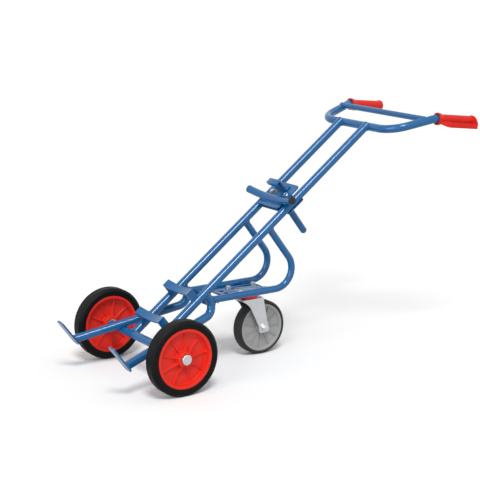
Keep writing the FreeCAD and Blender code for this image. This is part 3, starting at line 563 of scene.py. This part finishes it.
def plateLines(size, side, main, foot, footTop):  # saddles on a main tube, strut and caster plate beside it
    lines = []
    for place in size["saddlePlaces"]:
        for edge in (-size["saddleThickness"] / 2, size["saddleThickness"] / 2):
            ends = [onSlope(place + end, side * size["mainAcross"] + edge, size["saddleAbove"])
                    for end in (-size["saddleWidth"] / 2, size["saddleWidth"] / 2)]
            lines.append(edgeLine(*ends, -rise, main, along, size["mainRadius"]))
    loop = Vector((0, side * size["mainAcross"], size["loopHeight"]))
    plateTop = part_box("caster_mount_plate")[1].z
    for start, stop in size["stitches"]:
        ends = [Vector((axleCentre.x + end, 0, plateTop)) for end in (start, stop)]
        lines.append(edgeLine(*ends, across * side, loop, Vector((1, 0, 0)), size["loopRadius"]))
    low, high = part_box("cross_strut")
    for face in (low.x, high.x):
        ends = Vector((face, 0, low.z)), Vector((face, 0, high.z))
        lines.append(edgeLine(*ends, across * side, foot, footTop - foot, size["mainRadius"]))
    return lines


def cradleLines(size):  # the cradle tube between the slide plates, and the hook's foot
    steps = weldLine["cradleSteps"]
    curve = size["cradleCurve"]
    lines = []
    for way in (-1, 1):
        line = []
        for i in range(steps + 1):
            side = size["slideHalf"] * (2 * i / steps - 1)
            centre = size["cradleRise"] + curve - math.sqrt(curve ** 2 - side ** 2)
            reach = math.sqrt(size["cradleRadius"] ** 2 - (centre - size["slideTop"]) ** 2)
            line.append(onSlope(size["cradlePlace"] + way * reach, side, size["slideTop"]))
        lines.append(line + [None])
    ends = [onSlope(size["hookFoot"], way * size["hookHalf"], size["slideTop"]) for way in (-1, 1)]
    lines.append([ends[0].lerp(ends[1], i / steps) for i in range(steps + 1)] + [None])
    return lines


def armLine(size, side):  # one handle arm's centre line, from the bar's corner to the grip's
    bar = onSlope(size["barPlace"], 0, -size["barDrop"])
    return Vector((bar.x, side * size["barCorner"], bar.z)), fromAxle(size["gripCorner"], side)


def crossbarEnd(size, side):
    barEnd, grip = armLine(size, side)
    share = (size["crossbarPlace"] + axleCentre.x - barEnd.x) / (grip.x - barEnd.x)
    return barEnd.lerp(grip, share) + Vector((0, 0, size["crossbarRise"]))


def makeWelds(size, look):
    mainRadius = size["mainRadius"]
    bar = onSlope(size["barPlace"], 0, -size["barDrop"])
    for hand, side in (("left", -1), ("right", 1)):
        main = onSlope(0, side * size["mainAcross"], 0)
        middle = onSlope(size["mainMiddle"], side * size["mainAcross"], 0)
        foot = fromAxle(size["footCorner"], side)
        toe = fromAxle(size["footToe"], side)
        footTop = onSlope(size["footPlace"], side * size["mainAcross"], 0)
        loopTop = onSlope(size["loopPlace"], side * size["mainAcross"], 0)
        loopLow = loopTop - rise * size["loopDrop"]
        loopFront = Vector((foot.x + size["loopBehind"], foot.y, size["loopHeight"]))
        barEnd, grip = armLine(size, side)
        crossbar = crossbarEnd(size, side)
        crossbar.y = 0
        lines = [
            copeLine(middle, along, mainRadius, bar, across, mainRadius),
            copeLine(middle, -along, mainRadius, axleCentre, across, axleRadius),
            copeLine(foot, footTop - foot, mainRadius, main, along, mainRadius),
            copeLine(loopLow, rise, size["loopRadius"], main, along, mainRadius),
            copeLine(loopFront, Vector((-1, 0, 0)), size["loopRadius"], foot, footTop - foot, mainRadius),
            copeLine(crossbar, across * side, size["crossbarRadius"], barEnd, grip - barEnd, mainRadius),
            planeLine(toe, toe - foot, mainRadius, onSlope(size["toeFace"], 0, 0), along),
        ]
        makeBeads(f"{hand}FrameWelds", "frame", lines, look)
        makeBeads(f"{hand}PlateWelds", "frame", plateLines(size, side, main, foot, footTop), look)
    base = onSlope(size["leverPlace"], 0, size["baseUnderside"])
    lines = [planeLine(base, rise, size["leverRadius"], base, rise), *cradleLines(size)]
    makeBeads("carriageWelds", "hook_carriage", lines, look)
    print("welds laid")


makeWelds(tubes, bead)


# Rounded noses that close the main tubes over the handle's bar and the crossbar's ends over the arms

tubeNose = {"mainLength": 0.0040, "crossbarLength": 0.0050, "segments": 40, "rings": 24, "smooth": 60}


def makeNose(look, name, foot, towards, radius, length):
    bpy.ops.object.select_all(action="DESELECT")
    bpy.ops.mesh.primitive_uv_sphere_add(segments=look["segments"], ring_count=look["rings"], radius=radius,
                                         location=foot, rotation=towards.to_track_quat("Z", "Y").to_euler(),
                                         scale=(1, 1, length / radius))
    piece = bpy.context.object
    bpy.ops.object.transform_apply(location=True, rotation=True, scale=True)
    bpy.ops.object.mode_set(mode="EDIT")
    bpy.ops.mesh.select_all(action="SELECT")
    bpy.ops.mesh.bisect(plane_co=foot, plane_no=towards, use_fill=True, clear_inner=True)
    bpy.ops.object.mode_set(mode="OBJECT")
    smoothBy(piece, look["smooth"])
    settle(piece, name, "frame", "blue_paint")


def makeNoses(size, look):
    for hand, side in (("left", -1), ("right", 1)):
        foot = onSlope(size["barPlace"], side * size["mainAcross"], 0)
        makeNose(look, f"{hand}TubeNose", foot, along, size["mainRadius"], look["mainLength"])
        makeNose(look, f"{hand}CrossbarNose", crossbarEnd(size, side), across * side, size["crossbarRadius"],
                 look["crossbarLength"])
    print("tube noses set")


makeNoses(tubes, tubeNose)


# Moulded grips and main wheel rims: the node's form with soft edges and rounded rib roots

mouldedGrip = {"voxel": 0.0010, "smoothFactor": 0.5, "smoothTurns": 9, "keep": 0.5, "smooth": 60}
mouldedRim = {"voxel": 0.0010, "smoothFactor": 0.5, "smoothTurns": 6, "keep": 0.4, "smooth": 60}


def makeMoulding(node, name, look, finish):
    piece = copyNode(node)
    finishWith(piece, "REMESH", {"mode": "VOXEL", "voxel_size": look["voxel"]})
    finishWith(piece, "SMOOTH", {"factor": look["smoothFactor"], "iterations": look["smoothTurns"]})
    finishWith(piece, "DECIMATE", {"ratio": look["keep"]})
    smoothBy(piece, look["smooth"])
    settle(piece, name, bodyOf[node], slotOf[node], finish)
    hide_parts(node)


for hand in ("left", "right"):
    makeMoulding(f"{hand}_grip", f"{hand}MouldedGrip", mouldedGrip, gripFinish)
    makeMoulding(f"{hand}_wheel_rim", f"{hand}MouldedRim", mouldedRim, None)
print("mouldings softened")


# Plates, pressings and plugs whose edges are broken: the node's form with a small round on each sharp edge

softPieces = {
    "caster_fork": {"name": "pressedFork", "edge": 0.0010},
    "caster_mount_plate": {"name": "casterMountPlate", "edge": 0.0008},
    "cross_strut": {"name": "crossStrut", "edge": 0.0008},
    "rim_hook": {"name": "rimHook", "edge": 0.0008},
    "caster_top_plate": {"name": "casterTopPlate", "edge": 0.0007},
    "carriage_base_plate": {"name": "carriageBasePlate", "edge": 0.0008},
    "lower_slide_plate": {"name": "lowerSlidePlate", "edge": 0.0005},
    "upper_slide_plate": {"name": "upperSlidePlate", "edge": 0.0008},
    "left_cradle_plug": {"name": "leftCradlePlug", "edge": 0.0015},
    "right_cradle_plug": {"name": "rightCradlePlug", "edge": 0.0015},
}

softEdge = {"flat": 0.5, "sharp": 40, "segments": 2}


def makeSoftPieces(looks, edge):
    for node, look in looks.items():
        piece = copyNode(node)
        bpy.ops.object.mode_set(mode="EDIT")
        bpy.ops.mesh.select_all(action="SELECT")
        bpy.ops.mesh.dissolve_limited(angle_limit=math.radians(edge["flat"]))
        bpy.ops.object.mode_set(mode="OBJECT")
        settings = {"width": look["edge"], "segments": edge["segments"], "limit_method": "ANGLE",
                    "angle_limit": math.radians(edge["sharp"]), "use_clamp_overlap": False}
        finishWith(piece, "BEVEL", settings)
        smoothBy(piece, edge["sharp"])
        settle(piece, look["name"], bodyOf[node], slotOf[node])
        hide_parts(node)
    print("edges broken:", len(looks))


makeSoftPieces(softPieces, softEdge)


# Hexagon heads and nuts: chamfered corners on a washer, with a dished or domed top or the bolt's end

hexParts = {
    "corners": 6,
    "chamferShare": 0.475,
    "chamferSlope": 30,
    "edge": 0.00030,
    "edgeSegments": 2,
    "merge": 0.00002,
    "washerShare": 0.66,
    "washerHeight": 0.0014,
    "sides": 64,
    "smooth": 32,
    "upright": 0.99,
    "topShare": 0.9,
    "caster": {"width": 0.017, "height": 0.0064},
    "carriage": {"width": 0.013, "height": 0.0053},
    "axle": {"width": 0.019, "height": 0.0075},
    "dished": ((0.80, 0.0), (0.92, -0.03)),
    "domed": ((0.97, 0.04), (0.90, 0.04), (0.80, 0.035), (0.60, 0.02)),
    "ended": ((0.66, 0.0), (0.98, -0.04), (0.98, 0.10), (0.86, 0.04)),
}


def pickTop(piece, height, look):  # only the flat face on top
    pickOnly(piece)
    bpy.ops.object.mode_set(mode="EDIT")
    bpy.ops.mesh.select_mode(type="FACE")
    bpy.ops.mesh.select_all(action="DESELECT")
    bpy.ops.object.mode_set(mode="OBJECT")
    for face in piece.data.polygons:
        face.select = face.normal.z > look["upright"] and face.center.z > look["topShare"] * height
    bpy.ops.object.mode_set(mode="EDIT")


def makeHex(part, look, steps):  # steps of the top face: its new share, and its rise as a share of the width
    width, height = part["width"], part["height"]
    top = look["chamferShare"] * width
    spread = height / math.tan(math.radians(look["chamferSlope"]))
    middle = (0, 0, height / 2)
    rounded = {"width": look["edge"], "segments": look["edgeSegments"], "limit_method": "ANGLE"}
    bpy.ops.object.select_all(action="DESELECT")
    bpy.ops.mesh.primitive_cone_add(vertices=look["sides"], radius1=top + spread, radius2=top, depth=height,
                                    location=middle)
    cone = bpy.context.object
    bpy.ops.mesh.primitive_cylinder_add(vertices=look["corners"], radius=width / math.sqrt(3), depth=height,
                                        location=middle)
    piece = bpy.context.object
    finishWith(piece, "BOOLEAN", {"operation": "INTERSECT", "object": cone, "solver": "EXACT"})
    bpy.data.objects.remove(cone)
    bpy.ops.object.transform_apply(location=True)
    finishWith(piece, "BEVEL", rounded)
    mergeClose(piece, look["merge"])
    pickTop(piece, height, look)
    for share, lift in steps:
        bpy.ops.mesh.extrude_region_move(TRANSFORM_OT_translate={"value": (0, 0, lift * width)})
        bpy.ops.transform.resize(value=(share, share, 1), center_override=(0, 0, 0))
    bpy.ops.object.mode_set(mode="OBJECT")
    bpy.ops.mesh.primitive_cylinder_add(vertices=look["sides"], radius=look["washerShare"] * width,
                                        depth=look["washerHeight"], location=(0, 0, look["washerHeight"] / 2))
    washer = bpy.context.object
    bpy.ops.object.transform_apply(location=True)
    finishWith(washer, "BEVEL", rounded)
    piece = joinAll([piece, washer])
    smoothBy(piece, look["smooth"])
    return piece


def standAt(piece, place, axis):
    piece.location = place
    piece.rotation_euler = axis.to_track_quat("Z", "Y").to_euler()
    pickOnly(piece)
    bpy.ops.object.transform_apply(location=True, rotation=True, scale=True)


def makeSet(name, node, pattern, places, axis):  # one copy at each place, joined
    copies = []
    for place in places:
        piece = bpy.data.objects.new(name, pattern.data.copy())
        bpy.context.scene.collection.objects.link(piece)
        standAt(piece, place, axis)
        copies.append(piece)
    piece = settle(joinAll(copies), name, bodyOf[node], "zinc")
    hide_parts(node)


def makeFasteners(size, look):
    up = Vector((0, 0, 1))
    heads = {name: makeHex(look[name], look, look["dished"]) for name in ("caster", "carriage")}
    nuts = {name: makeHex(look[name], look, look["ended"]) for name in ("caster", "carriage", "axle")}
    heads["axle"] = makeHex(look["axle"], look, look["domed"])
    low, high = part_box("caster_nuts")
    inset = look["caster"]["width"] / 2
    rows = (low.y + inset, high.y - inset)
    corners = [Vector((x, y, 0)) for x in (low.x + inset, high.x - inset) for y in rows]
    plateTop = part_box("caster_mount_plate")[1].z
    makeSet("casterBoltHeads", "caster_bolts", heads["caster"], [c + up * plateTop for c in corners], up)
    makeSet("casterBoltNuts", "caster_nuts", nuts["caster"], [c + up * high.z for c in corners], -up)
    places = [(size["boltPlace"], way * size["boltAcross"]) for way in (-1, 1)]
    above = [onSlope(*place, size["slideTop"]) for place in places]
    below = [onSlope(*place, size["baseUnderside"]) for place in places]
    makeSet("carriageBoltHeads", "carriage_bolts", heads["carriage"], above, rise)
    makeSet("carriageBoltNuts", "carriage_nuts", nuts["carriage"], below, -rise)
    low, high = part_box("caster_axle_bolt")
    head = Vector(((low.x + high.x) / 2, low.y + look["axle"]["height"], (low.z + high.z) / 2))
    makeSet("casterAxleHead", "caster_axle_bolt", heads["axle"], [head], -across)
    low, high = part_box("caster_axle_nut")
    nut = Vector(((low.x + high.x) / 2, low.y, (low.z + high.z) / 2))
    makeSet("casterAxleNut", "caster_axle_nut", nuts["axle"], [nut], across)
    for pattern in (*heads.values(), *nuts.values()):
        bpy.data.objects.remove(pattern)
    print("fasteners set")


makeFasteners(tubes, hexParts)


# Floor, light and camera

stage = {
    "floorSize": 80.0,
    "floorColour": (0.80, 0.80, 0.80, 1),
    "floorSeen": (0.985, 0.985, 0.985, 1),
    "floorRoughness": 0.9,
    "floorSpecular": 0.1,
    "ambient": 0.42,
}


def makeFloor(look):
    bpy.ops.object.select_all(action="DESELECT")
    bpy.ops.mesh.primitive_plane_add(size=look["floorSize"], location=(0, 0, 0))
    floor = bpy.context.object
    floor.name = "floor"
    fixed = {"Roughness": look["floorRoughness"], "Specular IOR Level": look["floorSpecular"]}
    material, shader, place = newFinish("paleFloor", fixed)
    seen = place.add("ShaderNodeLightPath", {}, {}, "Is Camera Ray")
    blendColour(seen, look["floorColour"], look["floorSeen"]).feed(shader, "Base Color")
    floor.data.materials.append(material)


def makeWorld(look):
    world = bpy.data.worlds.new("studio")
    bpy.context.scene.world = world
    world.use_nodes = True
    tree = world.node_tree
    background = tree.nodes["Background"]
    background.inputs["Color"].default_value = white
    path = Wire(tree).add("ShaderNodeLightPath", {}, {}, "Is Camera Ray")
    light = path.socket.node.outputs
    seen = path + Wire(tree, light["Is Glossy Ray"]) + Wire(tree, light["Is Transmission Ray"])
    (look["ambient"] + (1 - look["ambient"]) * seen).feed(background, "Strength")


lamps = {
    "keyLight": {"from": (-1.7, -3.3, 5.45), "energy": 1.75, "angle": 18},
    "fillLight": {"from": (4.5, -2.0, 2.6), "energy": 0.35, "angle": 70},
    "sideLight": {"from": (-4.8, -1.6, 1.8), "energy": 1.2, "angle": 40},
}


def makeLamps(looks):
    for name, look in looks.items():
        lamp = bpy.data.lights.new(name, "SUN")
        lamp.energy = look["energy"]
        lamp.angle = math.radians(look["angle"])
        holder = bpy.data.objects.new(name, lamp)
        bpy.context.scene.collection.objects.link(holder)
        holder.location = look["from"]
        holder.rotation_euler = (-Vector(look["from"])).to_track_quat("-Z", "Y").to_euler()


shot = {
    "azimuth": -33.95,
    "elevation": 12.84,
    "distance": 5.0338,
    "aheadOfAxle": 0.4012,
    "across": 0.0,
    "height": 0.4318,
    "sensor": 36.0,
    "lens": 105.85,
}


def makeCamera(look):
    low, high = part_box("axle_shaft")
    target = Vector(((low.x + high.x) / 2 + look["aheadOfAxle"], look["across"], look["height"]))
    turn, lift = math.radians(look["azimuth"]), math.radians(look["elevation"])
    back = Vector((math.sin(turn) * math.cos(lift), -math.cos(turn) * math.cos(lift), math.sin(lift)))
    data = bpy.data.cameras.new("photoCamera")
    data.sensor_width = look["sensor"]
    data.lens = look["lens"]
    camera = bpy.data.objects.new("photoCamera", data)
    bpy.context.scene.collection.objects.link(camera)
    camera.location = target + look["distance"] * back
    camera.rotation_euler = (-back).to_track_quat("-Z", "Y").to_euler()
    bpy.context.scene.camera = camera


makeFloor(stage)
makeWorld(stage)
makeLamps(lamps)
makeCamera(shot)
bpy.context.scene.view_settings.view_transform = "Standard"
print("stage set")
